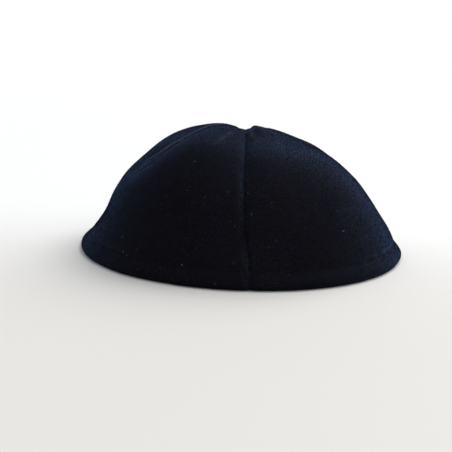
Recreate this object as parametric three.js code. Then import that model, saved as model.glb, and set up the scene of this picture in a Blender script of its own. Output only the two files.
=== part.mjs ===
// Kippah skullcap: a brimless dome cap, worn on the crown of the head.
//
// Four velvet panels are sewn edge to edge. Their seams lie in valleys that run from the
// crown, where all four meet, straight down to the rim. Between the seams each panel puffs
// out. The cloth is turned in along the rim as a hem, which is stitched down and holds the
// edge out as a small flare. Inside, the seam allowances are pressed open.
//
// Units are millimetres. +Z is up, and the rim rests on Z = 0, with the cap's axis on Z.
// The front seam lies at -Y and the other seams at +X, +Y and -X.

import * as THREE from "three";

// Driving dimensions.
const RIM_RADIUS = 85; // outermost line of the rim
const CROWN_HEIGHT = 60; // point where the seams meet, above the rim's underside
const CLOTH = 1.8; // velvet with its backing
const HEM_CLOTH = 3; // the same cloth turned in at the rim
const HEM_WIDTH = 9; // from the rim's edge to the hem's stitching, along the cloth
const ALLOWANCE_CLOTH = 2.8; // the same cloth with a seam allowance pressed onto it
const ALLOWANCE_WIDTH = 6; // from a seam to the cut edge of its allowance
const SEAM_GAP = 0.3; // clearance between neighbouring panels
const RIM_FLAT = 1.8; // width of the rim's flat underside
const TIP_RADIUS = 0.6; // a panel's blunt tip at the crown
const CROWN_SHIFT = 1.6; // how far to the right (+X) of the rim's middle the seams meet
const CROWN_SHIFT_REACH = 15; // down from the crown, until that shift has mostly gone

// How the cloth rolls into a seam, dips under the hem's stitching, and fills a panel.
const ROLL_DEPTH = 1.1;
const ROLL_WIDTH = 1.2;
const STITCH_DEPTH = 0.5;
const STITCH_WIDTH = 1.6;
const PUFF_FULLNESS = 0.6; // below 1 the panels stay full right up to their seams

// Distances along the cloth over which one form passes into the next.
const ROLL_START = 6; // down from the crown, until the cloth rolls fully into its seams
const SHAPING_START = 10; // down from the crown, until the shaping below is full
const HEM_STEP = 2.5; // above the stitching, where the hem's cut edge lies inside
const ALLOWANCE_STEP = 1.2; // across an allowance's cut edge
const LEVEL_START = 22; // up from the rim, below which swells and dents turn level
const LEVEL_END = 7; // up from the rim, below which they move the cloth level only
const FOOT = 5; // up from the rim, below which the inside closes onto the underside

// One row for each section of a panel's middle line, from the crown to the rim: its reach
// from the axis as a share of RIM_RADIUS, its height as a share of CROWN_HEIGHT, and how
// far the seams lie below the middle of the panels there, in millimetres.
const SECTIONS = [
  { section: "crown", reach: 0.0, height: 1.0, seam_sink: 0.0 },
  { section: "crown puff", reach: 0.165, height: 1.055, seam_sink: 1.4 },
  { section: "upper panel", reach: 0.355, height: 0.995, seam_sink: 3.4 },
  { section: "shoulder", reach: 0.555, height: 0.885, seam_sink: 5.0 },
  { section: "upper side", reach: 0.715, height: 0.7, seam_sink: 4.6 },
  { section: "middle side", reach: 0.82, height: 0.49, seam_sink: 3.0 },
  { section: "lower side", reach: 0.9, height: 0.285, seam_sink: 2.2 },
  { section: "flare", reach: 0.955, height: 0.13, seam_sink: 1.0 },
  { section: "rim", reach: 1.0, height: 0.035, seam_sink: 0.0 },
  { section: "rim underside", reach: 0.985, height: 0.0, seam_sink: 0.0 },
];

// One row for each swell (out above 0) or dent (out below 0) of the worn cloth: its place
// as a turn about the axis in degrees from +X and a distance along the cloth up from the
// rim, how far it reaches each way, how far it stands out, and how far the cloth there is
// shifted around the axis, anticlockwise from above.
const SHAPING = [
  { form: "back left panel puffed", turn: 140, reach: 26, from_rim: 76, span: 24, out: 4.2, around: 0 },
  { form: "front left panel puffed", turn: 228, reach: 26, from_rim: 82, span: 24, out: 2.4, around: 0 },
  { form: "front right panel flat", turn: -45, reach: 26, from_rim: 80, span: 24, out: -2.2, around: 0 },
  { form: "right side leaning in", turn: 5, reach: 30, from_rim: 50, span: 20, out: -0.8, around: 0 },
  { form: "right side over the hem", turn: 0, reach: 26, from_rim: 17, span: 10, out: 1.5, around: 0 },
  { form: "left seam full at the crown", turn: 182, reach: 18, from_rim: 101, span: 15, out: 2.6, around: 0 },
  { form: "left seam in at the side", turn: 182, reach: 16, from_rim: 65, span: 13, out: -0.8, around: 0 },
  { form: "front left low by the seam", turn: 201, reach: 15, from_rim: 66, span: 18, out: -3.4, around: 0 },
  { form: "left seam forward", turn: 184, reach: 24, from_rim: 68, span: 30, out: 0, around: 7.0 },
  { form: "left side out at the seam", turn: 180, reach: 20, from_rim: 44, span: 12, out: 1.2, around: 0 },
  { form: "left side leaning in", turn: 190, reach: 24, from_rim: 22, span: 12, out: -1.7, around: 0 },
  { form: "rim out behind the right", turn: 8, reach: 30, from_rim: 3, span: 12, out: 0.8, around: 0 },
  { form: "rim in behind the left", turn: 168, reach: 30, from_rim: 3, span: 12, out: -1.0, around: 0 },
  { form: "front seam right at the rim", turn: 270, reach: 35, from_rim: 0, span: 20, out: 0, around: 2.2 },
  { form: "front seam left above it", turn: 270, reach: 35, from_rim: 50, span: 30, out: 0, around: -1.5 },
  { form: "front right full at crown", turn: -62, reach: 30, from_rim: 107, span: 9, out: 3.0, around: 0 },
];

// How closely a panel is divided: rows down the cloth, and columns across from seam to seam.
const ROWS_FROM_TIP = [0, 1.6, 4, 7.5, 12, 17, 22.5, 28.5, 34.5, 40.5, 46.5, 52.5, 58.5, 64.5, 70.5];
const ROWS_FROM_RIM = [31, 25, 19.5, 15, 11.5, 9, 6.5, 4.4, 2.6, 1.2, 0];
const COLUMNS_FROM_SEAM = [0, 0.8, 2, 3.6, 5.4, 6.6];
const EVEN_COLUMNS = 6; // between the last of those and the panel's middle
const WIDE_ENOUGH = 16; // half width of a panel, below which its columns close up

const QUARTER = Math.PI / 2;
const EIGHTH = Math.PI / 4;
const LEVEL = new THREE.Vector2(1, 0);
const smooth = (from, to, x) => THREE.MathUtils.smoothstep(x, from, to);
const bell = (x, width) => Math.exp(-((x / width) ** 2));

// The middle line of a panel, carrying (reach, height, seam_sink) in place of (x, y, z).
const meridian = new THREE.CatmullRomCurve3(
  SECTIONS.map((s) => new THREE.Vector3(s.reach * RIM_RADIUS, s.height * CROWN_HEIGHT, s.seam_sink)),
  false,
  "centripetal",
);
meridian.arcLengthDivisions = 2000;
const CLOTH_LENGTH = meridian.getLength();

// Distances down the cloth of a panel's rows, the first at the blunt tip.
const rows = [
  ...ROWS_FROM_TIP.map((d) => TIP_RADIUS + d),
  ...ROWS_FROM_RIM.map((d) => CLOTH_LENGTH - d),
];

// The middle line at a distance down the cloth, as a point of reach and height, with the
// direction straight through the cloth and the one that swells and dents follow, which
// turns level towards the rim so that nothing there moves up or down.
function sectionAt(down) {
  const share = THREE.MathUtils.clamp(down / CLOTH_LENGTH, 0, 1);
  const here = meridian.getPointAt(share);
  const along = meridian.getTangentAt(share);
  const across = new THREE.Vector2(-along.y, along.x).normalize();
  const level = smooth(CLOTH_LENGTH - LEVEL_START, CLOTH_LENGTH - LEVEL_END, down);
  const out = across.clone().lerp(LEVEL, level).normalize();
  return { at: new THREE.Vector2(here.x, here.y), sink: here.z, across, out };
}

// Half the width of a panel, from seam to middle, at a reach from the axis.
const halfWidth = (reach) => reach * EIGHTH;

// Distances of a panel's columns from its nearer seam, from that seam to the middle.
function columnDistances(reach) {
  const half = halfWidth(reach);
  const near = COLUMNS_FROM_SEAM.map((d) => d * Math.min(1, half / WIDE_ENOUGH));
  const last = near[near.length - 1];
  const step = (half - last) / EVEN_COLUMNS;
  const even = Array.from({ length: EVEN_COLUMNS }, (_, i) => last + step * (i + 1));
  return [...near, ...even];
}
const HALF_COLUMNS = COLUMNS_FROM_SEAM.length + EVEN_COLUMNS - 1;
const COLUMNS = 2 * HALF_COLUMNS;

// A column's distance from its nearer seam and its angle from the panel's middle, which
// leaves the gap at the seam clear.
function columnAt(column, reach) {
  const mirrored = column > HALF_COLUMNS;
  const distance = columnDistances(reach)[mirrored ? COLUMNS - column : column];
  const gap = Math.asin(SEAM_GAP / 2 / reach);
  const fromSeam = gap + (distance / halfWidth(reach)) * (EIGHTH - gap);
  return { distance, angle: mirrored ? EIGHTH - fromSeam : fromSeam - EIGHTH };
}

// How far the shaping moves the cloth, "out" or "around", at a turn and a distance down it.
function shapingAt(turn, down, move) {
  const fromRim = CLOTH_LENGTH - down;
  const degrees = THREE.MathUtils.radToDeg(turn);
  const total = SHAPING.reduce((sum, s) => {
    const away = THREE.MathUtils.euclideanModulo(degrees - s.turn + 180, 360) - 180;
    return sum + s[move] * bell(away, s.reach) * bell(fromRim - s.from_rim, s.span);
  }, 0);
  return total * smooth(0, SHAPING_START, down);
}

// The outer face, as a point of reach and height, on cloth that is puffed out by shape.
function outerFace(down, distance, shape) {
  const s = sectionAt(down);
  const rolled = ROLL_DEPTH * bell(distance, ROLL_WIDTH) * smooth(0, ROLL_START, down);
  const stitched = STITCH_DEPTH * bell(CLOTH_LENGTH - HEM_WIDTH - down, STITCH_WIDTH);
  return s.at.addScaledVector(s.out, shape - rolled - stitched);
}

// The inner face, which steps in over the hem and the seam allowances, and closes onto the
// rim's flat underside at the foot.
function innerFace(down, distance, shape) {
  const stitching = CLOTH_LENGTH - HEM_WIDTH;
  const hem = smooth(stitching - HEM_STEP, stitching, down);
  const step = ALLOWANCE_STEP / 2;
  const allowance = 1 - smooth(ALLOWANCE_WIDTH - step, ALLOWANCE_WIDTH + step, distance);
  const thickness = Math.max(
    THREE.MathUtils.lerp(CLOTH, HEM_CLOTH, hem),
    THREE.MathUtils.lerp(CLOTH, ALLOWANCE_CLOTH, allowance),
  );
  const footStart = CLOTH_LENGTH - FOOT;
  const s = sectionAt(Math.min(down, footStart));
  const wall = s.at.addScaledVector(s.out, shape).addScaledVector(s.across, -thickness);
  const underside = new THREE.Vector2(sectionAt(CLOTH_LENGTH).at.x + shape - RIM_FLAT, 0);
  return wall.lerp(underside, smooth(footStart, CLOTH_LENGTH, down));
}

// A point of the panel that faces a turn of facing, laid out as if it faced +X: column and
// row are counted from its first seam and from its tip.
function panelPoint(column, row, inside, facing) {
  const down = rows[row];
  const { at, sink } = sectionAt(down);
  const { distance, angle } = columnAt(column, at.x);
  const puff = Math.cos(2 * angle) ** PUFF_FULLNESS;
  const shape = shapingAt(facing + angle, down, "out") - sink * (1 - puff);
  const face = (inside ? innerFace : outerFace)(down, distance, shape);
  const shifted = angle + shapingAt(facing + angle, down, "around") / at.x;
  const shift = CROWN_SHIFT * bell(down, CROWN_SHIFT_REACH);
  return new THREE.Vector3(
    face.x * Math.cos(shifted) + shift * Math.cos(facing),
    face.x * Math.sin(shifted) - shift * Math.sin(facing),
    face.y,
  );
}

// A panel starts as a thin box with a grid of rows and columns on its two broad faces,
// whose points are moved onto the sewn cloth's outer and inner face.
function panelGeometry(facing) {
  const box = new THREE.BoxGeometry(1, 1, 1, COLUMNS, rows.length - 1, 1);
  const points = box.getAttribute("position");
  for (let i = 0; i < points.count; i++) {
    const column = Math.round((points.getX(i) + 0.5) * COLUMNS);
    const row = Math.round((0.5 - points.getY(i)) * (rows.length - 1));
    const p = panelPoint(column, row, points.getZ(i) < 0, facing);
    points.setXYZ(i, p.x, p.y, p.z);
  }
  box.computeVertexNormals();
  return box;
}

const velvet = { color: 0x07080c, roughness: 0.95, metalness: 0 };

const PANELS = [
  { name: "panel_front_right", facing: -EIGHTH },
  { name: "panel_back_right", facing: EIGHTH },
  { name: "panel_back_left", facing: QUARTER + EIGHTH },
  { name: "panel_front_left", facing: -QUARTER - EIGHTH },
];

const kippah = new THREE.Group();
kippah.name = "kippah";
for (const { name, facing } of PANELS) {
  const panel = new THREE.Mesh(panelGeometry(facing), new THREE.MeshStandardMaterial(velvet));
  panel.name = name;
  panel.rotation.z = facing;
  kippah.add(panel);
}

export default kippah;
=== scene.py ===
"""A four-panel velvet kippah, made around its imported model.

Everything is in metres, in the model's frame: +Z up through the crown, the rim on Z = 0,
the front seam at -Y. Turns about the axis are counted anticlockwise from +X, and distances
"down" run along the cloth from the crown to the rim.
"""

import math
import random
from bisect import bisect_right
from collections import namedtuple

import bmesh
import bpy
from bpy.props import FloatProperty, FloatVectorProperty, IntProperty, PointerProperty
from mathutils import Matrix, Vector, noise


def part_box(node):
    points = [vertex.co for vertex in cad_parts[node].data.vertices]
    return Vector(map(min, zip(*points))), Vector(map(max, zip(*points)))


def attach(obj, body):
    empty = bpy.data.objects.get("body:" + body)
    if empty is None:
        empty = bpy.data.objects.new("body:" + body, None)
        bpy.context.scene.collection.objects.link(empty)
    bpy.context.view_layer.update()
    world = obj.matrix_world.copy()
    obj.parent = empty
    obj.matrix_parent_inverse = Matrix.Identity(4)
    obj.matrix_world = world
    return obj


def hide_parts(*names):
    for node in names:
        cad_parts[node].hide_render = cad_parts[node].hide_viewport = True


bl_info = {
    "name": "Velvet Kippah",
    "version": (1, 0, 0),
    "blender": (4, 5, 0),
    "location": "3D View > Sidebar > Kippah",
    "description": "Makes a four-panel velvet skullcap with its seams, hem and pile",
    "category": "Mesh",
}

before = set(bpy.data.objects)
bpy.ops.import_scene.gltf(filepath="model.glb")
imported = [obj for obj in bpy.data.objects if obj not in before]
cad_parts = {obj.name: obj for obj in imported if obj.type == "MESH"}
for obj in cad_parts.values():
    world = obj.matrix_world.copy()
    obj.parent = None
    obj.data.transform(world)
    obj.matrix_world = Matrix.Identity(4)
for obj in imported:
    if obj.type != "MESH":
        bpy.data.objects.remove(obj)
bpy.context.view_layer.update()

BODY = "root"
MM = 0.001
QUARTER = math.pi / 2
EIGHTH = math.pi / 4

# The panels, each named after its CAD solid, and the turn that its middle faces.
PANELS = {
    "panel_front_right": -EIGHTH,
    "panel_back_right": EIGHTH,
    "panel_back_left": 3 * EIGHTH,
    "panel_front_left": -3 * EIGHTH,
}

# The rim's outermost line is a round number of millimetres, and the point where the seams
# meet stands 12/17 of that above the table.
RIM_RADIUS = round(max(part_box(node)[1].y for node in PANELS), 3)
CROWN_HEIGHT = RIM_RADIUS * 12 / 17

# How far to the right (+X) of the rim's middle the seams meet, and over what distance down
# from the crown the cloth is shifted so.
CROWN_SHIFT = 0.0016
CROWN_SHIFT_REACH = 0.015

# ---------------------------------------------------------------- the cap's form

# A panel's middle line from crown to rim: reach as a share of RIM_RADIUS, height as a share
# of CROWN_HEIGHT, and how far the seams lie below it.
Section = namedtuple("Section", "name reach height seam_sink")
SECTIONS = (
    Section("crown", 0.0, 1.0, 0.0),
    Section("crown puff", 0.165, 1.055, 0.0014),
    Section("upper panel", 0.355, 0.995, 0.0034),
    Section("shoulder", 0.555, 0.885, 0.0050),
    Section("upper side", 0.715, 0.7, 0.0046),
    Section("middle side", 0.82, 0.49, 0.0030),
    Section("lower side", 0.9, 0.285, 0.0022),
    Section("flare", 0.955, 0.13, 0.0010),
    Section("rim", 1.0, 0.035, 0.0),
    Section("rim underside", 0.985, 0.0, 0.0),
)

# The worn cloth's swells (out above 0) and dents (out below 0), and where it is shifted
# around the axis: turn in degrees, distance up from the rim, and how far each reaches.
Shaping = namedtuple("Shaping", "form turn reach from_rim span out around")
SHAPING = (
    Shaping("back left panel puffed", 140, 26, 0.076, 0.024, 0.0042, 0),
    Shaping("front left panel puffed", 228, 26, 0.082, 0.024, 0.0024, 0),
    Shaping("front right panel flat", -45, 26, 0.080, 0.024, -0.0022, 0),
    Shaping("right side leaning in", 5, 30, 0.050, 0.020, -0.0008, 0),
    Shaping("right side over the hem", 0, 26, 0.017, 0.010, 0.0015, 0),
    Shaping("left seam full at the crown", 182, 18, 0.101, 0.015, 0.0026, 0),
    Shaping("left seam in at the side", 182, 16, 0.065, 0.013, -0.0008, 0),
    Shaping("front left low by the seam", 201, 15, 0.066, 0.018, -0.0034, 0),
    Shaping("left seam forward", 184, 24, 0.068, 0.030, 0, 0.0070),
    Shaping("left side out at the seam", 180, 20, 0.044, 0.012, 0.0012, 0),
    Shaping("left side leaning in", 190, 24, 0.022, 0.012, -0.0017, 0),
    Shaping("rim out behind the right", 8, 30, 0.003, 0.012, 0.0008, 0),
    Shaping("rim in behind the left", 168, 30, 0.003, 0.012, -0.0010, 0),
    Shaping("front seam right at the rim", 270, 35, 0.0, 0.020, 0, 0.0022),
    Shaping("front seam left above it", 270, 35, 0.050, 0.030, 0, -0.0015),
    Shaping("front right full at crown", -62, 30, 0.107, 0.009, 0.0030, 0),
)

# Creases that the seams' fullness leaves round the crown: turn and width in degrees, where
# each lies down the cloth, how long it is, and how deep.
Pucker = namedtuple("Pucker", "turn width down length depth")
PUCKERS = (
    Pucker(252, 9, 0.015, 0.010, 0.0009),
    Pucker(236, 7, 0.011, 0.006, 0.0005),
    Pucker(281, 8, 0.013, 0.008, 0.0007),
    Pucker(302, 8, 0.012, 0.006, 0.0004),
    Pucker(340, 9, 0.014, 0.008, 0.0007),
    Pucker(17, 9, 0.013, 0.008, 0.0006),
    Pucker(66, 8, 0.014, 0.009, 0.0008),
    Pucker(106, 9, 0.012, 0.008, 0.0007),
    Pucker(158, 8, 0.014, 0.009, 0.0006),
    Pucker(199, 9, 0.013, 0.008, 0.0008),
)


def smooth(start, end, x):
    """0 before start, 1 after end, and an S-curve between."""
    t = min(max((x - start) / (end - start), 0.0), 1.0)
    return t * t * (3 - 2 * t)


def bell(x, width):
    return math.exp(-((x / width) ** 2))


def blend(a, b, share):
    return a + (b - a) * share


class Meridian:
    """A panel's middle line, as (reach, height, seam_sink), measured along the cloth."""

    SAMPLES = 60

    def __init__(self, sections):
        knots = [Vector((s.reach * RIM_RADIUS, s.height * CROWN_HEIGHT, s.seam_sink)) for s in sections]
        knots = [2 * knots[0] - knots[1], *knots, 2 * knots[-1] - knots[-2]]
        self.points = [knots[1]]
        for four in zip(knots, knots[1:], knots[2:], knots[3:]):
            self.points += [self.spline(four, (i + 1) / self.SAMPLES) for i in range(self.SAMPLES)]
        self.lengths = [0.0]
        for a, b in zip(self.points, self.points[1:]):
            self.lengths.append(self.lengths[-1] + (b - a).length)
        self.length = self.lengths[-1]

    @staticmethod
    def spline(knots, share):
        """A centripetal Catmull-Rom curve between the middle two of four knots."""
        times = [0.0]
        for a, b in zip(knots, knots[1:]):
            times.append(times[-1] + math.sqrt((b - a).length))
        now = blend(times[1], times[2], share)

        def between(a, b, start, end):
            return blend(a, b, (now - times[start]) / (times[end] - times[start]))

        before, middle, after = (between(knots[i], knots[i + 1], i, i + 1) for i in range(3))
        return between(between(before, middle, 0, 2), between(middle, after, 1, 3), 1, 2)

    def point(self, down):
        down = min(max(down, 0.0), self.length)
        i = min(max(bisect_right(self.lengths, down), 1), len(self.lengths) - 1)
        share = (down - self.lengths[i - 1]) / (self.lengths[i] - self.lengths[i - 1])
        return self.points[i - 1].lerp(self.points[i], share)


class Row:
    """What every point at one distance down the cloth shares."""

    LEVEL = Vector((1, 0))
    PROBE = 0.2 * MM
    # How far above the rim the cloth's outward side starts to turn level, and is level.
    LEVELLING = (0.022, 0.007)
    # How far down from the crown the cloth takes its full shape.
    OPENING = 0.010

    def __init__(self, line, down):
        self.down = down
        self.from_rim = line.length - down
        here = line.point(down)
        ahead = line.point(down + self.PROBE) - line.point(down - self.PROBE)
        self.at = Vector((here.x, here.y))
        self.sink = here.z
        self.across = Vector((-ahead.y, ahead.x)).normalized()
        if self.across.y < 0 and down < line.length / 2:
            self.across.negate()
        level = smooth(line.length - self.LEVELLING[0], line.length - self.LEVELLING[1], down)
        self.out = self.across.lerp(self.LEVEL, level).normalized()
        self.open = smooth(0, self.OPENING, down)
        self.shaping = [(s, bell(self.from_rim - s.from_rim, s.span) * self.open) for s in SHAPING]
        self.puckers = [(p, bell(down - p.down, p.length)) for p in PUCKERS]


def turned(degrees, middle):
    """How far a turn in degrees is from another, the short way round."""
    return (degrees - middle + 180) % 360 - 180


class Cloth:
    """The sewn cloth's outer and inner face."""

    PUFF_FULLNESS = 0.6
    ROLL_START = 6 * MM
    STITCH_WIDTH = 1.6 * MM
    RIM_FLAT = 1.8 * MM
    FOOT = 5 * MM
    HEM_STEP = 2.5 * MM
    ALLOWANCE_STEP = 1.2 * MM
    # Puckers beside a seam: their height, the length of one and how far they reach.
    PUCKER_HEIGHT = 0.35 * MM
    PUCKER_LENGTH = 5.5 * MM
    PUCKER_REACH = 5 * MM
    # Soft waves, as height and length.
    WAVES = ((0.4 * MM, 26 * MM), (0.12 * MM, 9 * MM))
    FAINT = 0.01

    def __init__(self, sizes):
        self.line = Meridian(SECTIONS)
        self.length = self.line.length
        self.cloth = sizes.cloth
        self.hem_cloth = sizes.hem_cloth
        self.hem_width = sizes.hem_width
        self.allowance_cloth = sizes.allowance_cloth
        self.allowance_width = sizes.allowance_width
        self.roll_depth = sizes.roll_depth
        self.roll_width = sizes.roll_width
        self.stitch_depth = sizes.stitch_depth
        self.stitch_pitch = sizes.stitch_pitch
        self.unevenness = sizes.unevenness
        self.foot_row = self.row(self.length - self.FOOT)
        self.rim_row = self.row(self.length)

    def row(self, down):
        return Row(self.line, down)

    def shape(self, row, turn, distance):
        """How far the cloth is puffed out or sunk, at a distance from the nearer seam."""
        degrees = math.degrees(turn)
        out = self.summed("out", row, degrees)
        middle = (turn % QUARTER) - EIGHTH
        puff = max(math.cos(2 * middle), 0.0) ** self.PUFF_FULLNESS
        return out - row.sink * (1 - puff) + self.unevenness * self.wear(row, turn, degrees, distance)

    def wear(self, row, turn, degrees, distance):
        """Creases by the crown, puckers along the seams and soft waves, outwards."""
        creases = sum(
            -p.depth * bell(turned(degrees, p.turn), p.width) * near
            for p, near in row.puckers
            if near > self.FAINT
        )
        place = Vector((row.at.x * math.cos(turn), row.at.x * math.sin(turn), row.at.y))
        seam = round(turn / QUARTER) % 4
        gathered = noise.noise(Vector((seam * 9.7, row.down / self.PUCKER_LENGTH, 0.5)))
        puckers = self.PUCKER_HEIGHT * gathered * bell(distance, self.PUCKER_REACH) * row.open
        waves = sum(height * noise.noise(place / length) for height, length in self.WAVES)
        return creases + puckers + waves

    def around(self, row, turn):
        """The distance that the cloth is shifted about the axis, anticlockwise."""
        return self.summed("around", row, math.degrees(turn))

    @staticmethod
    def summed(column, row, degrees):
        """What the shapings of one column come to at a turn."""
        return sum(
            getattr(s, column) * bell(turned(degrees, s.turn), s.reach) * near
            for s, near in row.shaping
            if getattr(s, column)
        )

    @staticmethod
    def from_seam(row, turn):
        """How far a turn is from its nearer seam, along the cloth."""
        return row.at.x * (EIGHTH - abs((turn % QUARTER) - EIGHTH))

    def stitch_line(self, row, turn):
        """How deep the hem's stitching draws the cloth in."""
        if abs(row.from_rim - self.hem_width) > 3 * self.STITCH_WIDTH:
            return 0.0
        along = turn * RIM_RADIUS
        stitch = 0.92 + 0.08 * math.cos(2 * math.pi * along / self.stitch_pitch)
        tension = 0.85 + 0.9 * noise.noise(Vector((along / (14 * MM), 4.2, 0)))
        return self.stitch_depth * tension * stitch * bell(row.from_rim - self.hem_width, self.STITCH_WIDTH)

    def outer(self, row, turn, distance, shape):
        """The outer face's reach and height."""
        rolled = self.roll_depth * math.exp(-((distance / self.roll_width) ** 1.4))
        rolled *= smooth(0, self.ROLL_START, row.down)
        return row.at + row.out * (shape - rolled - self.stitch_line(row, turn))

    def inner(self, row, turn, distance, shape):
        """The inner face's reach and height, which close onto the rim's flat underside."""
        hem = smooth(self.hem_width + self.HEM_STEP, self.hem_width, row.from_rim)
        step = self.ALLOWANCE_STEP / 2
        allowance = 1 - smooth(self.allowance_width - step, self.allowance_width + step, distance)
        hemmed = blend(self.cloth, self.hem_cloth, hem)
        thickness = max(hemmed, blend(self.cloth, self.allowance_cloth, allowance))
        wall_row = self.foot_row if row.from_rim < self.FOOT else row
        wall = wall_row.at + wall_row.out * shape - wall_row.across * thickness
        underside = Vector((self.rim_row.at.x + shape - self.RIM_FLAT, 0))
        return wall.lerp(underside, smooth(self.length - self.FOOT, self.length, row.down))

    def point(self, row, turn, distance, inside=False, lift=0.0):
        """A point of the outer or inner face, lifted outwards off it."""
        shape = self.shape(row, turn, distance)
        face = (self.inner if inside else self.outer)(row, turn, distance, shape)
        face = face + row.across * lift
        shifted = turn + (self.around(row, turn) / row.at.x if row.at.x > 0 else 0)
        shift = CROWN_SHIFT * bell(row.down, CROWN_SHIFT_REACH)
        return Vector((face.x * math.cos(shifted) + shift, face.x * math.sin(shifted), face.y))


# ---------------------------------------------------------------- settings


def length_setting(name, description, default, least, most):
    """A length, given in millimetres."""
    return FloatProperty(
        name=name,
        description=description,
        default=default * MM,
        min=least * MM,
        max=most * MM,
        unit="LENGTH",
        precision=5,
    )


def colour_setting(name, description, default):
    return FloatVectorProperty(
        name=name,
        description=description,
        default=default,
        subtype="COLOR",
        min=0,
        max=1,
    )


class KippahSizes(bpy.types.PropertyGroup):
    """Sizes of the cap's cloth and sewing."""

    cloth: length_setting("Cloth", "Thickness of the velvet with its backing", 1.8, 0.5, 4)
    hem_cloth: length_setting(
        "Hem cloth", "Thickness of the velvet where it is turned in at the rim", 3, 0.5, 6
    )
    hem_width: length_setting(
        "Hem width", "Distance from the rim's edge up to the hem's stitching", 9, 5, 20
    )
    allowance_cloth: length_setting(
        "Allowance cloth", "Thickness of the velvet with a seam allowance pressed onto it", 2.8, 0.5, 6
    )
    allowance_width: length_setting(
        "Allowance width", "Distance from a seam to the cut edge of its allowance", 6, 3, 12
    )
    roll_depth: length_setting("Seam depth", "How deep the cloth rolls into a seam", 0.9, 0, 2)
    roll_width: length_setting(
        "Seam roll", "Distance from a seam over which the cloth rolls into it", 1.2, 0.5, 4
    )
    stitch_depth: length_setting(
        "Stitch depth", "How deep the hem's stitching draws in the velvet", 0.5, 0, 1
    )
    stitch_pitch: length_setting(
        "Stitch pitch", "Length along the hem from one stitch to the next", 3, 1.5, 6
    )
    thread: length_setting("Thread", "Thickness of the hem's thread", 0.35, 0.1, 1)
    unevenness: FloatProperty(
        name="Unevenness",
        description="Share of the worn cloth's creases, puckers and waves",
        default=1.0,
        min=0.0,
        max=2.0,
        subtype="FACTOR",
    )
    seam_clearance: length_setting(
        "Seam clearance", "Clearance between neighbouring panels", 0.02, 0.01, 0.3
    )
    pile_length: length_setting(
        "Pile length", "How far the velvet's tufts stand off the cloth", 0.26, 0.2, 3
    )
    tuft_width: length_setting("Tuft width", "Width of a tuft of pile at its root", 0.46, 0.05, 1)
    tuft_spacing: length_setting(
        "Tuft spacing", "Least distance from one tuft of pile to the next", 0.39, 0.3, 5
    )
    stray_length: length_setting(
        "Stray length", "How far the longest stray tufts stand off the cloth", 1.1, 0.2, 4
    )
    stray_width: length_setting("Stray width", "Width of a stray tuft at its root", 0.12, 0.05, 1)
    stray_spacing: length_setting(
        "Stray spacing", "Least distance from one stray tuft to the next", 2.4, 0.5, 10
    )
    lint_specks: IntProperty(
        name="Lint specks",
        description="Number of specks of lint on the velvet",
        default=320,
        min=1,
        max=1000,
    )


class KippahColours(bpy.types.PropertyGroup):
    """Colours of the cap's cloth and sewing."""

    pile_deep: colour_setting(
        "Pile, deep", "Colour down in the velvet's pile", (0.0060, 0.0046, 0.0049)
    )
    pile_tips: colour_setting(
        "Pile, tips", "Colour of the tips of the velvet's pile", (0.0092, 0.0072, 0.0076)
    )
    # Painted highlight: a light bluish colour painted on the pile along the seams and crown folds, standing
    # in for sheen where the pile catches the light.
    pile_painted_sheen: colour_setting(
        "Pile, painted sheen", "Colour of the painted sheen where the pile catches the light along the seams", (0.10, 0.118, 0.158)
    )
    pile_sheen: colour_setting(
        "Pile sheen", "Tint of the light that brushes over the velvet", (0.19, 0.41, 1.0)
    )
    backing: colour_setting("Backing", "Colour of the velvet's woven back", (0.012, 0.012, 0.014))
    thread: colour_setting("Thread", "Colour of the hem's thread", (0.010, 0.010, 0.013))
    lint: colour_setting("Lint", "Colour of the specks of lint", (0.20, 0.21, 0.24))


class KippahStudio(bpy.types.PropertyGroup):
    """The floor and the light around the cap."""

    # The floor's two colours carry painted light: darker in front of the cap, whiter behind it towards the
    # daylight.
    floor: colour_setting("Floor", "Colour of the floor in front of the cap", (0.655, 0.63, 0.60))
    far_floor_painted_light: colour_setting(
        "Far floor", "Colour of the floor behind the cap, towards the daylight", (0.79, 0.785, 0.78)
    )
    sky: colour_setting("Surroundings", "Colour of the light from all round", (0.93, 0.965, 1.0))
    sky_strength: FloatProperty(
        name="Surrounding light",
        description="Strength of the light from all round",
        default=1.0,
        min=0,
        max=5,
    )
    key_strength: FloatProperty(
        name="Key light",
        description="Strength of the soft light behind the cap on the right",
        default=2.5,
        min=0,
        max=20,
    )


# ---------------------------------------------------------------- materials


def add_node(tree, kind, inputs=None, **settings):
    """Adds a node, and sets or links its inputs, each named or counted."""
    new = tree.nodes.new(kind)
    for name, value in settings.items():
        setattr(new, name, value)
    for name, value in (inputs or {}).items():
        if isinstance(value, bpy.types.NodeSocket):
            tree.links.new(value, new.inputs[name])
        else:
            new.inputs[name].default_value = value
    return new


def rgba(colour, share=1.0):
    return (*(channel * share for channel in colour), 1.0)


def start_material(name):
    """A material with only its output, and its tree."""
    material = bpy.data.materials.new(name)
    material.use_nodes = True
    material.node_tree.nodes.clear()
    return material, material.node_tree


def finish_material(tree, surface):
    """Gives a material its surface, from the inputs of its shader."""
    shader = add_node(tree, "ShaderNodeBsdfPrincipled", surface)
    output = add_node(tree, "ShaderNodeOutputMaterial")
    tree.links.new(shader.outputs[0], output.inputs["Surface"])


# Noise seldom leaves this span.
NOISE_SPAN = (0.3, 0.7)


def noise_map(tree, vector, scale, detail=2.0, low=0.0, high=1.0):
    """Noise of a scale per metre, as a value from low to high."""
    texture = add_node(
        tree,
        "ShaderNodeTexNoise",
        {"Vector": vector, "Scale": scale, "Detail": detail, "Roughness": 0.5},
    )
    span = {"From Min": NOISE_SPAN[0], "From Max": NOISE_SPAN[1], "To Min": low, "To Max": high}
    spread = {"Value": texture.outputs["Fac"], **span}
    return add_node(tree, "ShaderNodeMapRange", spread).outputs["Result"]


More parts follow.
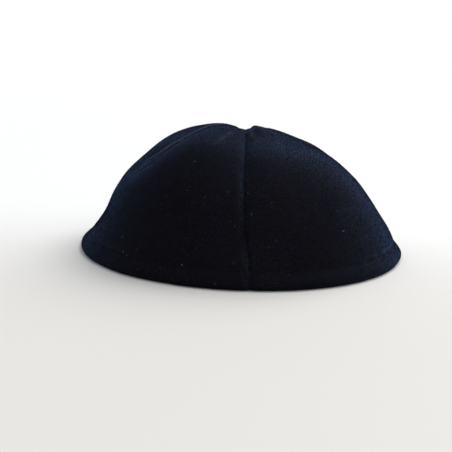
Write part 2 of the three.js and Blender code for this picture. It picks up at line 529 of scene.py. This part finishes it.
def maths(tree, operation, a, b):
    return add_node(tree, "ShaderNodeMath", {0: a, 1: b}, operation=operation).outputs[0]


def multiplied(tree, first, *others):
    """The product of several values."""
    for other in others:
        first = maths(tree, "MULTIPLY", first, other)
    return first


def axis_of(tree, place, axis):
    return add_node(tree, "ShaderNodeSeparateXYZ", {0: place}).outputs[axis]


def attribute(tree, name):
    return add_node(tree, "ShaderNodeAttribute", attribute_name=name).outputs["Fac"]


def mix_colours(tree, share, a, b):
    mixed = add_node(tree, "ShaderNodeMix", {0: share, 6: a, 7: b}, data_type="RGBA")
    return mixed.outputs[2]


def faded(tree, value, start, end, high=1.0, low=0.0):
    """A smooth fall from high to low while a value goes from start to end."""
    spread = {"Value": value, "From Min": start, "From Max": end, "To Min": high, "To Max": low}
    return add_node(tree, "ShaderNodeMapRange", spread, interpolation_type="SMOOTHSTEP").outputs["Result"]


# Folds at the crown whose pile is painted lighter, as a painted sheen highlight: the direction across each
# one, its distance from the cap's middle, and how far forward it starts and ends.
Fold = namedtuple("Fold", "across offset start end")
CROWN_FOLDS = (
    Fold((0.908, -0.42, 0.0), 2.0 * MM, -19 * MM, -42 * MM),
    Fold((0.966, 0.259, 0.0), -2.4 * MM, -15 * MM, -31 * MM),
)
FOLD_PAINTED_SHEEN = 0.17
FOLD_HALF_WIDTH = 2.2 * MM

# The painted sheen highlight beside a seam, on a panel's clockwise half and on its anticlockwise half; it
# differs between the halves with how the light falls on each.
SEAM_PAINTED_SHEEN = (0.12, 0.32)
SEAM_PAINTED_SHEEN_WIDTH = 4 * MM


def fold_painted_sheen(tree, place, fold):
    """The painted sheen highlight along one straight fold over the crown."""
    along = add_node(tree, "ShaderNodeVectorMath", {0: place, 1: fold.across}, operation="DOT_PRODUCT")
    away = maths(tree, "ABSOLUTE", maths(tree, "SUBTRACT", along.outputs["Value"], fold.offset), 0.0)
    y = axis_of(tree, place, "Y")
    begun = faded(tree, y, fold.start, fold.start - 4 * MM, 0.0, 1.0)
    unfinished = faded(tree, y, fold.end + 8 * MM, fold.end)
    return multiplied(tree, begun, unfinished, faded(tree, away, 0.1 * MM, FOLD_HALF_WIDTH, FOLD_PAINTED_SHEEN))


def left_seam_painted_sheen(tree, place, from_seam):
    """The painted sheen highlight in the thin line that runs down the left seam from the crown."""
    from_rim = attribute(tree, "from_rim")
    left = faded(tree, axis_of(tree, place, "X"), -18 * MM, -8 * MM)
    high = faded(tree, from_rim, 68 * MM, 46 * MM)
    near = faded(tree, from_seam, 1.5 * MM, 3.0 * MM)
    clear = faded(tree, from_seam, 1.6 * MM, 0.7 * MM)
    return multiplied(tree, near, clear, left, high)


def painted_seam_sheen(tree, place):
    """Where the pile gets a painted sheen highlight: in streaks beside the seams, down the left seam, on the
    folds.
    """
    from_seam = attribute(tree, "from_seam")
    long = add_node(tree, "ShaderNodeMapping", {"Vector": place, "Scale": (1.0, 1.0, 0.3)}).outputs[0]
    streaks = noise_map(tree, long, 700, detail=3.0, low=-0.35, high=1.0)
    patches = noise_map(tree, place, 60, detail=2.0, low=-0.2, high=1.0)
    near = faded(tree, from_seam, 0.6 * MM, SEAM_PAINTED_SHEEN_WIDTH)
    side = faded(tree, attribute(tree, "across"), -1 * MM, 1 * MM, *SEAM_PAINTED_SHEEN)
    beside = maths(tree, "MULTIPLY", multiplied(tree, near, side), multiplied(tree, streaks, patches))
    lines = left_seam_painted_sheen(tree, place, from_seam)
    for fold in CROWN_FOLDS:
        lines = maths(tree, "ADD", lines, fold_painted_sheen(tree, place, fold))
    gaps = noise_map(tree, place, 500, detail=3.0, low=0.3, high=1.15)
    lines = maths(tree, "MULTIPLY", lines, gaps)
    return add_node(tree, "ShaderNodeClamp", {"Value": maths(tree, "ADD", beside, lines)}).outputs[0]


VELVET = "Black velvet"


def velvet_material(colours):
    """Dense black pile: dark where one looks into it, with a cool sheen across its tips."""
    material, tree = start_material(VELVET)
    place = add_node(tree, "ShaderNodeTexCoord").outputs["Object"]
    brushed = add_node(tree, "ShaderNodeMapping", {"Vector": place, "Scale": (1.0, 1.0, 0.45)}).outputs[0]
    nap = noise_map(tree, brushed, 46, detail=3.0)
    tufts = noise_map(tree, brushed, 1500, detail=2.0)
    fibres = noise_map(tree, place, 4200, detail=1.0)
    pile = maths(tree, "ADD", maths(tree, "MULTIPLY", nap, 0.45), maths(tree, "MULTIPLY", tufts, 0.35))
    pile = maths(tree, "ADD", pile, maths(tree, "MULTIPLY", fibres, 0.25))
    colour = mix_colours(tree, pile, rgba(colours.pile_deep), rgba(colours.pile_tips))
    # Painted highlight: the pile along the seams and crown folds is painted in a light bluish colour where it
    # catches the light.
    colour = mix_colours(tree, painted_seam_sheen(tree, place), colour, rgba(colours.pile_painted_sheen))
    relief = maths(tree, "ADD", maths(tree, "MULTIPLY", tufts, 0.45), maths(tree, "MULTIPLY", fibres, 0.55))
    bump = add_node(tree, "ShaderNodeBump", {"Strength": 0.18, "Distance": 0.12 * MM, "Height": relief})
    rough = add_node(tree, "ShaderNodeMapRange", {"Value": pile, "To Min": 1.0, "To Max": 0.82})
    surface = {
        "Base Color": colour,
        "Roughness": rough.outputs["Result"],
        "Specular IOR Level": 0.05,
        "Sheen Weight": 0.60,
        "Sheen Roughness": 0.35,
        "Sheen Tint": rgba(colours.pile_sheen),
        "Normal": bump.outputs["Normal"],
    }
    finish_material(tree, surface)
    return material


def backing_material(colours):
    """The velvet's back: a close plain weave of dull charcoal yarn."""
    material, tree = start_material("Velvet backing")
    place = add_node(tree, "ShaderNodeTexCoord").outputs["UV"]
    threads = []
    for direction in ("X", "Y"):
        yarn = add_node(
            tree,
            "ShaderNodeTexWave",
            {"Vector": place, "Scale": 1 / (4.6 * MM), "Distortion": 1.2, "Detail": 1.0, "Detail Scale": 2.0},
            bands_direction=direction,
        )
        threads.append(yarn.outputs["Fac"])
    weave = maths(tree, "MAXIMUM", *threads)
    slubs = noise_map(tree, place, 240, detail=3.0)
    shade = maths(tree, "ADD", maths(tree, "MULTIPLY", weave, 0.6), maths(tree, "MULTIPLY", slubs, 0.5))
    colour = mix_colours(tree, shade, rgba(colours.backing, 0.45), rgba(colours.backing, 1.6))
    bump = add_node(tree, "ShaderNodeBump", {"Strength": 0.6, "Distance": 0.15 * MM, "Height": shade})
    rough = add_node(tree, "ShaderNodeMapRange", {"Value": shade, "To Min": 0.98, "To Max": 0.8})
    surface = {
        "Base Color": colour,
        "Roughness": rough.outputs["Result"],
        "Specular IOR Level": 0.25,
        "Sheen Weight": 0.12,
        "Sheen Roughness": 0.5,
        "Normal": bump.outputs["Normal"],
    }
    finish_material(tree, surface)
    return material


def thread_material(colours):
    """Black polyester sewing thread, with its twist."""
    material, tree = start_material("Black thread")
    place = add_node(tree, "ShaderNodeTexCoord").outputs["Object"]
    plies = add_node(
        tree,
        "ShaderNodeTexWave",
        {"Vector": place, "Scale": 1 / (1.6 * MM), "Distortion": 0.6},
        bands_direction="DIAGONAL",
    ).outputs["Fac"]
    wear = noise_map(tree, place, 300)
    shade = maths(tree, "ADD", maths(tree, "MULTIPLY", plies, 0.6), maths(tree, "MULTIPLY", wear, 0.4))
    colour = mix_colours(tree, shade, rgba(colours.thread, 0.5), rgba(colours.thread, 1.8))
    bump = add_node(tree, "ShaderNodeBump", {"Strength": 0.6, "Distance": 0.06 * MM, "Height": plies})
    rough = add_node(tree, "ShaderNodeMapRange", {"Value": wear, "To Min": 0.45, "To Max": 0.65})
    surface = {
        "Base Color": colour,
        "Roughness": rough.outputs["Result"],
        "Normal": bump.outputs["Normal"],
    }
    finish_material(tree, surface)
    return material


def lint_material(colours):
    """Pale dust and broken fibres."""
    material, tree = start_material("Lint")
    place = add_node(tree, "ShaderNodeTexCoord").outputs["Object"]
    shade = noise_map(tree, place, 150, detail=2.0)
    colour = mix_colours(tree, shade, rgba(colours.lint, 0.4), rgba(colours.lint, 1.3))
    rough = add_node(tree, "ShaderNodeMapRange", {"Value": shade, "To Min": 0.95, "To Max": 0.75})
    finish_material(tree, {"Base Color": colour, "Roughness": rough.outputs["Result"]})
    return material


# Along Y, where the floor whitens on its way behind the cap, and where it is white again far in front of it.
# The whitening behind the cap is painted light: darker in front of the cap, whiter towards the daylight.
FLOOR_WHITENS = (-0.16, 0.12)
FLOOR_WHITENS_AGAIN = (-0.7, -0.3)


def floor_material(studio):
    """A pale matt studio floor with painted light: darker in front of the cap and whiter towards the daylight
    behind it.
    """
    material, tree = start_material("Studio floor")
    place = add_node(tree, "ShaderNodeTexCoord").outputs["Object"]
    shade = noise_map(tree, place, 3, detail=2.0)
    colour = mix_colours(tree, shade, rgba(studio.floor, 0.985), rgba(studio.floor))
    y = axis_of(tree, place, "Y")
    # Painted light: the floor is painted whiter behind the cap, towards the daylight, and white again far in
    # front.
    behind = faded(tree, y, *FLOOR_WHITENS, 0.0, 1.0)
    pale = maths(tree, "ADD", behind, faded(tree, y, *FLOOR_WHITENS_AGAIN))
    colour = mix_colours(tree, pale, colour, rgba(studio.far_floor_painted_light))
    finish_material(tree, {"Base Color": colour, "Roughness": 0.75})
    return material


def shared_velvet(colours):
    """The velvet, made only once."""
    return bpy.data.materials.get(VELVET) or velvet_material(colours)


# ---------------------------------------------------------------- pieces


def add_piece(bm, name, materials, replaces=()):
    """Makes a bmesh into a piece that rides on the cap's body."""
    mesh = bpy.data.meshes.new(name)
    bm.to_mesh(mesh)
    bm.free()
    piece = bpy.data.objects.new(name, mesh)
    bpy.context.collection.objects.link(piece)
    for material in materials:
        mesh.materials.append(material)
    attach(piece, BODY)
    for node in replaces:
        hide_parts(node)
    return piece


def graded(near, limit, step):
    """Distances from the given ones on to the limit, in even steps of about one size."""
    last = near[-1]
    count = max(1, round((limit - last) / step))
    return near + [last + (limit - last) * (i + 1) / count for i in range(count)]


class PanelGrid:
    """The rows down a panel and the columns across it."""

    NEAR_SEAM = [d * MM for d in (0, 0.3, 0.7, 1.2, 1.8, 2.6, 3.5, 4.5, 5.3, 5.7, 6.1, 6.6, 7.4)]
    NEAR_RIM = [d * MM for d in (0, 0.25, 0.6, 1.1, 1.7, 2.4, 3.2, 4.0)]
    NEAR_RIM += [d * MM for d in (5.0, 6.0, 7.0, 7.6, 8.2, 8.7, 9.2, 9.7)]
    NEAR_CROWN = [d * MM for d in (0, 0.4, 0.9, 1.5, 2.2, 3.0, 4.0)]
    # A panel's least half width at which its columns keep their distances from the seam.
    WIDE_ENOUGH = 16 * MM

    def __init__(self, cloth, column_step, row_step):
        self.cloth = cloth
        middle = cloth.length / 2
        from_crown = graded(self.NEAR_CROWN, middle, row_step)
        from_rim = graded(self.NEAR_RIM, middle, row_step)
        self.rows = from_crown + [cloth.length - d for d in reversed(from_rim[:-1])]
        self.even = round((RIM_RADIUS * EIGHTH - self.NEAR_SEAM[-1]) / column_step)
        self.half = len(self.NEAR_SEAM) - 1 + self.even

    def distance(self, column, reach):
        """A column's distance from its nearer seam."""
        column = min(column, 2 * self.half - column)
        half_width = reach * EIGHTH
        squeeze = min(1, half_width / self.WIDE_ENOUGH)
        near = [d * squeeze for d in self.NEAR_SEAM]
        if column < len(near):
            return near[column]
        return blend(near[-1], half_width, (column - len(near) + 1) / self.even)

    def turn(self, column, reach, distance, clearance):
        """A column's turn from the panel's middle."""
        gap = min(EIGHTH, clearance / 2 / reach) if reach > 0 else EIGHTH
        share = distance / (reach * EIGHTH) if reach > 0 else 0
        from_middle = EIGHTH - gap - share * (EIGHTH - gap)
        return from_middle if column > self.half else -from_middle


# Grid sizes of a panel and of the ground that its pile stands on.
COLUMN_STEP = 0.8 * MM
ROW_STEP = 1.25 * MM
PILE_GROUND_STEP = 2.4 * MM

# Points closer than this are one, and edges sharper than this aren't rounded.
SAME_POINT = 0.002 * MM
SHARP = math.radians(55)

# What every point of a panel keeps: distances in metres, and 1 on the inner face.
LAYERS = ("from_seam", "across", "from_rim", "inside")


def build_face(bm, cloth, grid, facing, clearance, inside):
    """Moves a flat grid onto the outer or inner face of the panel that faces a turn."""
    columns = 2 * grid.half
    rows = len(grid.rows) - 1
    layers = bm.verts.layers.float
    from_seam, across, from_rim, within = (layers[name] for name in LAYERS)
    made = bmesh.ops.create_grid(bm, x_segments=columns, y_segments=rows, size=0.5)["verts"]
    cloth_rows = [cloth.row(down) for down in grid.rows]
    for vert in made:
        column = round((vert.co.x + 0.5) * columns)
        row = cloth_rows[round((0.5 - vert.co.y) * rows)]
        distance = grid.distance(column, row.at.x)
        turn = facing + grid.turn(column, row.at.x, distance, clearance)
        vert.co = cloth.point(row, turn, distance, inside)
        vert[from_seam] = distance
        vert[across] = (row.at.x * EIGHTH - distance) * (1 if column > grid.half else -1)
        vert[from_rim] = row.from_rim
        vert[within] = float(inside)
    if inside:
        faces = {face for vert in made for face in vert.link_faces}
        bmesh.ops.reverse_faces(bm, faces=list(faces))


def build_panel(sizes, facing):
    """A panel's bmesh: both faces of its cloth, joined round its edges."""
    cloth = Cloth(sizes)
    grid = PanelGrid(cloth, COLUMN_STEP, ROW_STEP)
    bm = bmesh.new()
    for name in LAYERS:
        bm.verts.layers.float.new(name)
    for inside in (False, True):
        build_face(bm, cloth, grid, facing, sizes.seam_clearance, inside)
    bmesh.ops.remove_doubles(bm, verts=bm.verts, dist=SAME_POINT)
    edges = [edge for edge in bm.edges if edge.is_boundary]
    bmesh.ops.bridge_loops(bm, edges=edges)
    bmesh.ops.recalc_face_normals(bm, faces=bm.faces)
    lay_out_cloth(bm, cloth)
    shade_panel(bm, cloth)
    return bm


def lay_out_cloth(bm, cloth):
    """Gives the panel a UV map in metres of cloth, across it and down it."""
    uv = bm.loops.layers.uv.new("cloth")
    across = bm.verts.layers.float["across"]
    from_rim = bm.verts.layers.float["from_rim"]
    for face in bm.faces:
        for loop in face.loops:
            loop[uv].uv = (loop.vert[across], cloth.length - loop.vert[from_rim])


def shade_panel(bm, cloth):
    """Rounds the cloth's shading, and shows its back inside, clear of hem and allowances."""
    from_seam = bm.verts.layers.float["from_seam"]
    from_rim = bm.verts.layers.float["from_rim"]
    within = bm.verts.layers.float["inside"]
    for face in bm.faces:
        face.smooth = True
        inside = all(vert[within] > 0.5 for vert in face.verts)
        in_allowance = all(abs(vert[from_seam]) < cloth.allowance_width for vert in face.verts)
        in_hem = all(vert[from_rim] < cloth.hem_width + 1.5 * MM for vert in face.verts)
        face.material_index = int(inside and not in_allowance and not in_hem)
    for edge in bm.edges:
        edge.smooth = edge.calc_face_angle(0) < SHARP


def build_pile_ground(sizes, facing):
    """The outer face alone of a panel, for its pile to stand on."""
    cloth = Cloth(sizes)
    grid = PanelGrid(cloth, PILE_GROUND_STEP, PILE_GROUND_STEP)
    bm = bmesh.new()
    for name in LAYERS:
        bm.verts.layers.float.new(name)
    build_face(bm, cloth, grid, facing, sizes.seam_clearance, False)
    bmesh.ops.remove_doubles(bm, verts=bm.verts, dist=SAME_POINT)
    return bm


# How far a tuft leans each way, in radians, its least and greatest size, and how many points
# are tried in a square as wide as the spacing.
LEAN = 0.32
TUFT_SIZES = (0.7, 1.15)
TRIES = 8


def stand_tufts(group, face, spacing, length, width, seed):
    """Nodes that stand tapered tufts on a face, no closer than a spacing, each leaning its way."""
    points = add_node(
        group,
        "GeometryNodeDistributePointsOnFaces",
        {"Mesh": face, "Distance Min": spacing, "Density Max": TRIES / spacing**2, "Seed": seed},
        distribute_method="POISSON",
    )
    tuft = add_node(
        group,
        "GeometryNodeMeshCone",
        {"Vertices": 3, "Radius Top": 0.0, "Radius Bottom": width / 2, "Depth": length},
    )
    lean = add_node(
        group,
        "FunctionNodeRandomValue",
        {0: (-LEAN, -LEAN, -math.pi), 1: (LEAN, LEAN, math.pi), "Seed": seed + 1},
        data_type="FLOAT_VECTOR",
    )
    size = add_node(
        group,
        "FunctionNodeRandomValue",
        {2: TUFT_SIZES[0], 3: TUFT_SIZES[1], "Seed": seed + 2},
        data_type="FLOAT",
    )
    turn = add_node(
        group,
        "FunctionNodeRotateRotation",
        {"Rotation": points.outputs["Rotation"], "Rotate By": lean.outputs[0]},
        rotation_space="LOCAL",
    )
    stood = add_node(
        group,
        "GeometryNodeInstanceOnPoints",
        {
            "Points": points.outputs["Points"],
            "Instance": tuft.outputs["Mesh"],
            "Rotation": turn.outputs["Rotation"],
            "Scale": size.outputs[1],
        },
    )
    return stood.outputs["Instances"]


def pile_nodes(sizes, material, seed):
    """Nodes that stand short tapered tufts and a few longer stray ones all over a face."""
    group = bpy.data.node_groups.new("Pile", "GeometryNodeTree")
    group.interface.new_socket("Geometry", in_out="INPUT", socket_type="NodeSocketGeometry")
    group.interface.new_socket("Geometry", in_out="OUTPUT", socket_type="NodeSocketGeometry")
    face = add_node(group, "NodeGroupInput").outputs[0]
    pile = stand_tufts(group, face, sizes.tuft_spacing, sizes.pile_length, sizes.tuft_width, seed)
    strays = stand_tufts(group, face, sizes.stray_spacing, sizes.stray_length, sizes.stray_width, seed + 5)
    joined = add_node(group, "GeometryNodeJoinGeometry")
    for stood in (strays, pile):
        group.links.new(stood, joined.inputs[0])
    real = add_node(group, "GeometryNodeRealizeInstances", {"Geometry": joined.outputs[0]})
    clothed = add_node(
        group, "GeometryNodeSetMaterial", {"Geometry": real.outputs[0], "Material": material}
    )
    output = add_node(group, "NodeGroupOutput")
    group.links.new(clothed.outputs[0], output.inputs[0])
    return group


class KIPPAH_OT_pile(bpy.types.Operator):
    """Stand the velvet's pile on the panels"""

    bl_idname = "kippah.pile"
    bl_label = "Stand the pile"
    bl_options = {"REGISTER", "UNDO"}

    def execute(self, context):
        sizes = context.scene.kippah_sizes
        velvet = shared_velvet(context.scene.kippah_colours)
        for seed, (node, facing) in enumerate(PANELS.items()):
            bm = build_pile_ground(sizes, facing)
            piece = add_piece(bm, node.replace("panel", "pile"), (velvet,))
            modifier = piece.modifiers.new("pile", "NODES")
            modifier.node_group = pile_nodes(sizes, velvet, 10 * seed + 3)
            graph = bpy.context.evaluated_depsgraph_get()
            stood = bpy.data.meshes.new_from_object(piece.evaluated_get(graph))
            piece.modifiers.clear()
            piece.data = stood
        return {"FINISHED"}


class KIPPAH_OT_panels(bpy.types.Operator):
    """Make the four velvet panels, sewn edge to edge"""

    bl_idname = "kippah.panels"
    bl_label = "Make panels"
    bl_options = {"REGISTER", "UNDO"}

    def execute(self, context):
        sizes = context.scene.kippah_sizes
        colours = context.scene.kippah_colours
        velvet = shared_velvet(colours)
        backing = backing_material(colours)
        for node, facing in PANELS.items():
            bm = build_panel(sizes, facing)
            add_piece(bm, node.replace("panel", "velvet"), (velvet, backing), (node,))
        return {"FINISHED"}


# A stitch's thread: where each point lies, as a share of half its length, and how far it is
# lifted outwards, as a share of its thickness. It runs nearer to the rim than the hem's edge.
STITCH = ((-1.0, 0.5), (-0.75, -0.05), (-0.35, -0.22), (0.35, -0.22), (0.75, -0.05), (1.0, 0.5))
STITCH_FROM_HEM_EDGE = 0.8 * MM


def build_stitch(bm, cloth, turn, length, thickness):
    """One stitch of the hem inside: a short thread that dips into the cloth at both ends."""
    row = cloth.row(cloth.length - cloth.hem_width + STITCH_FROM_HEM_EDGE)
    half = length / 2 / row.at.x
    points = []
    for along, lift in STITCH:
        at = turn + along * half
        points.append(cloth.point(row, at, cloth.from_seam(row, at), inside=True, lift=lift * thickness))
    ring = None
    for i, point in enumerate(points):
        ahead = points[min(i + 1, len(points) - 1)] - points[max(i - 1, 0)]
        turn_to = ahead.to_track_quat("Z", "Y").to_matrix().to_4x4()
        made = bmesh.ops.create_circle(
            bm,
            segments=6,
            radius=thickness / 2,
            matrix=Matrix.Translation(point) @ turn_to,
        )["verts"]
        edges = list({edge for vert in made for edge in vert.link_edges})
        if ring:
            bmesh.ops.bridge_loops(bm, edges=ring + edges)
        else:
            bmesh.ops.contextual_create(bm, geom=edges)
        ring = edges
    bmesh.ops.contextual_create(bm, geom=ring)


class KIPPAH_OT_hem_stitches(bpy.types.Operator):
    """Make the row of stitches that holds the hem inside the rim"""

    bl_idname = "kippah.hem_stitches"
    bl_label = "Make hem stitches"
    bl_options = {"REGISTER", "UNDO"}

    def execute(self, context):
        sizes = context.scene.kippah_sizes
        cloth = Cloth(sizes)
        row = cloth.row(cloth.length - cloth.hem_width)
        count = round(2 * math.pi * row.at.x / sizes.stitch_pitch)
        chance = random.Random(11)
        bm = bmesh.new()
        for i in range(count):
            turn = 2 * math.pi * (i + 0.5 + chance.uniform(-0.06, 0.06)) / count
            length = sizes.stitch_pitch * chance.uniform(0.72, 0.84)
            build_stitch(bm, cloth, turn, length, sizes.thread)
        bmesh.ops.recalc_face_normals(bm, faces=bm.faces)
        for face in bm.faces:
            face.smooth = True
        add_piece(bm, "hem_stitches", (thread_material(context.scene.kippah_colours),))
        return {"FINISHED"}


class KIPPAH_OT_lint(bpy.types.Operator):
    """Scatter a few specks of lint over the velvet"""

    bl_idname = "kippah.lint"
    bl_label = "Scatter lint"
    bl_options = {"REGISTER", "UNDO"}

    def execute(self, context):
        sizes = context.scene.kippah_sizes
        cloth = Cloth(sizes)
        chance = random.Random(5)
        bm = bmesh.new()
        for _ in range(sizes.lint_specks):
            turn = chance.uniform(0, 2 * math.pi)
            down = cloth.length * math.sqrt(chance.uniform(0.05, 0.97))
            row = cloth.row(down)
            lift = sizes.pile_length * chance.uniform(0.75, 0.95)
            point = cloth.point(row, turn, cloth.from_seam(row, turn), lift=lift)
            length = chance.uniform(0.25, 0.5) * MM * (1 + 2.5 * chance.random() ** 4)
            thickness = chance.uniform(0.10, 0.24) * MM
            stretch = Matrix.Diagonal((length / 2, thickness / 2, thickness / 2, 1))
            spin = Matrix.Rotation(chance.uniform(0, math.pi), 4, "Z")
            normal = Vector((row.across.x * math.cos(turn), row.across.x * math.sin(turn), row.across.y))
            lay = normal.to_track_quat("Z", "Y").to_matrix().to_4x4()
            place = Matrix.Translation(point) @ lay @ spin @ stretch
            bmesh.ops.create_icosphere(bm, subdivisions=1, radius=1, matrix=place)
        for face in bm.faces:
            face.smooth = True
        add_piece(bm, "lint", (lint_material(context.scene.kippah_colours),))
        return {"FINISHED"}


# ---------------------------------------------------------------- studio

# The camera looks at a point over the cap's middle from in front and a little above, with
# its own slight tilt to the right.
CAMERA_TARGET = Vector((0, 0, 0.025))
CAMERA_DISTANCE = 0.330
CAMERA_TURN = math.radians(-2.1)
CAMERA_RISE = math.radians(9.1)
CAMERA_TILT = math.radians(2.35)
CAMERA_LENS = 48.35
CAMERA_SENSOR = 36
CAMERA_SHIFT = (-0.0354, -0.0602)

# The side that the daylight comes from, and the share of it that the far side gives. It
# rises from one to the other between two cosines of the angle from that side.
WINDOW_SIDE = (0.35, 0.85, 0.35)
DIM_SIDE = 0.07
DAYLIGHT_SPAN = (-0.8, 0.6)

# How bright the surroundings look to the camera, as a share of their strength.
BACKDROP = 1.08

# The soft light behind the cap on the right.
KEY_PLACE = (0.75, 0.85, 1.1)
KEY_SOFTNESS = math.radians(44)
KEY_COLOUR = (1.0, 0.99, 0.97)

# Half the floor's width, and how far it lies below the rim.
FLOOR_HALF = 6
FLOOR_DROP = 0.05 * MM


def make_camera():
    data = bpy.data.cameras.new("camera")
    data.sensor_width = CAMERA_SENSOR
    data.lens = CAMERA_LENS
    data.shift_x, data.shift_y = CAMERA_SHIFT
    data.clip_start = 0.01
    camera = bpy.data.objects.new("camera", data)
    bpy.context.collection.objects.link(camera)
    level = math.cos(CAMERA_RISE)
    back = Vector((math.sin(CAMERA_TURN) * level, -math.cos(CAMERA_TURN) * level, math.sin(CAMERA_RISE)))
    aim = back.to_track_quat("Z", "Y").to_matrix().to_4x4()
    tilt = Matrix.Rotation(CAMERA_TILT, 4, "Z")
    camera.matrix_world = Matrix.Translation(CAMERA_TARGET + back * CAMERA_DISTANCE) @ aim @ tilt
    bpy.context.scene.camera = camera


def make_light(name, place, softness, strength, colour):
    """A soft light from far off, so that it falls evenly on the cap and the floor."""
    data = bpy.data.lights.new(name, "SUN")
    data.angle = softness
    data.energy = strength
    data.color = colour
    light = bpy.data.objects.new(name, data)
    light.location = place
    light.rotation_euler = (Vector(place) - CAMERA_TARGET).to_track_quat("Z", "Y").to_euler()
    bpy.context.collection.objects.link(light)


def make_floor(studio):
    bm = bmesh.new()
    bmesh.ops.create_grid(bm, x_segments=1, y_segments=1, size=FLOOR_HALF)
    bmesh.ops.translate(bm, verts=bm.verts, vec=(0, 0, -FLOOR_DROP))
    mesh = bpy.data.meshes.new("floor")
    bm.to_mesh(mesh)
    bm.free()
    floor = bpy.data.objects.new("floor", mesh)
    mesh.materials.append(floor_material(studio))
    bpy.context.collection.objects.link(floor)


def make_world(studio):
    world = bpy.data.worlds.new("studio")
    world.use_nodes = True
    tree = world.node_tree
    direction = add_node(tree, "ShaderNodeTexCoord").outputs["Generated"]
    facing = add_node(
        tree,
        "ShaderNodeVectorMath",
        {0: direction, 1: Vector(WINDOW_SIDE).normalized()},
        operation="DOT_PRODUCT",
    )
    spread = {
        "Value": facing.outputs["Value"],
        "From Min": DAYLIGHT_SPAN[0],
        "From Max": DAYLIGHT_SPAN[1],
        "To Min": studio.sky_strength * DIM_SIDE,
        "To Max": studio.sky_strength,
    }
    rising = add_node(tree, "ShaderNodeMapRange", spread, interpolation_type="SMOOTHSTEP")
    strength = rising.outputs["Result"]
    seen = add_node(tree, "ShaderNodeLightPath").outputs["Is Camera Ray"]
    backdrop = maths(tree, "MULTIPLY", seen, BACKDROP * studio.sky_strength)
    background = tree.nodes["Background"]
    background.inputs["Color"].default_value = rgba(studio.sky)
    tree.links.new(maths(tree, "MAXIMUM", strength, backdrop), background.inputs["Strength"])
    bpy.context.scene.world = world


class KIPPAH_OT_stage(bpy.types.Operator):
    """Set the cap on a pale floor in soft light, with a camera in front of it"""

    bl_idname = "kippah.stage"
    bl_label = "Set the stage"
    bl_options = {"REGISTER", "UNDO"}

    def execute(self, context):
        studio = context.scene.kippah_studio
        make_floor(studio)
        make_world(studio)
        make_light("key", KEY_PLACE, KEY_SOFTNESS, studio.key_strength, KEY_COLOUR)
        make_camera()
        context.scene.view_settings.view_transform = "Standard"
        return {"FINISHED"}


class KIPPAH_PT_sidebar(bpy.types.Panel):
    """The kippah's settings and steps"""

    bl_idname = "KIPPAH_PT_sidebar"
    bl_label = "Velvet Kippah"
    bl_space_type = "VIEW_3D"
    bl_region_type = "UI"
    bl_category = "Kippah"

    def draw(self, context):
        for pointer in SETTINGS:
            settings = getattr(context.scene, pointer)
            box = self.layout.box()
            for name in settings.__annotations__:
                box.prop(settings, name)
        for step in STEPS:
            self.layout.operator(step.bl_idname)


STEPS = (KIPPAH_OT_stage, KIPPAH_OT_panels, KIPPAH_OT_pile, KIPPAH_OT_hem_stitches, KIPPAH_OT_lint)
SETTINGS = {"kippah_sizes": KippahSizes, "kippah_colours": KippahColours, "kippah_studio": KippahStudio}


def register():
    for group in SETTINGS.values():
        bpy.utils.register_class(group)
    for name, group in SETTINGS.items():
        setattr(bpy.types.Scene, name, PointerProperty(type=group))
    for step in STEPS:
        bpy.utils.register_class(step)
    bpy.utils.register_class(KIPPAH_PT_sidebar)


def unregister():
    bpy.utils.unregister_class(KIPPAH_PT_sidebar)
    for step in reversed(STEPS):
        bpy.utils.unregister_class(step)
    for name, group in SETTINGS.items():
        delattr(bpy.types.Scene, name)
        bpy.utils.unregister_class(group)


def main():
    register()
    bpy.ops.kippah.stage()
    bpy.ops.kippah.panels()
    bpy.ops.kippah.pile()
    bpy.ops.kippah.hem_stitches()
    bpy.ops.kippah.lint()


if __name__ == "__main__":
    main()
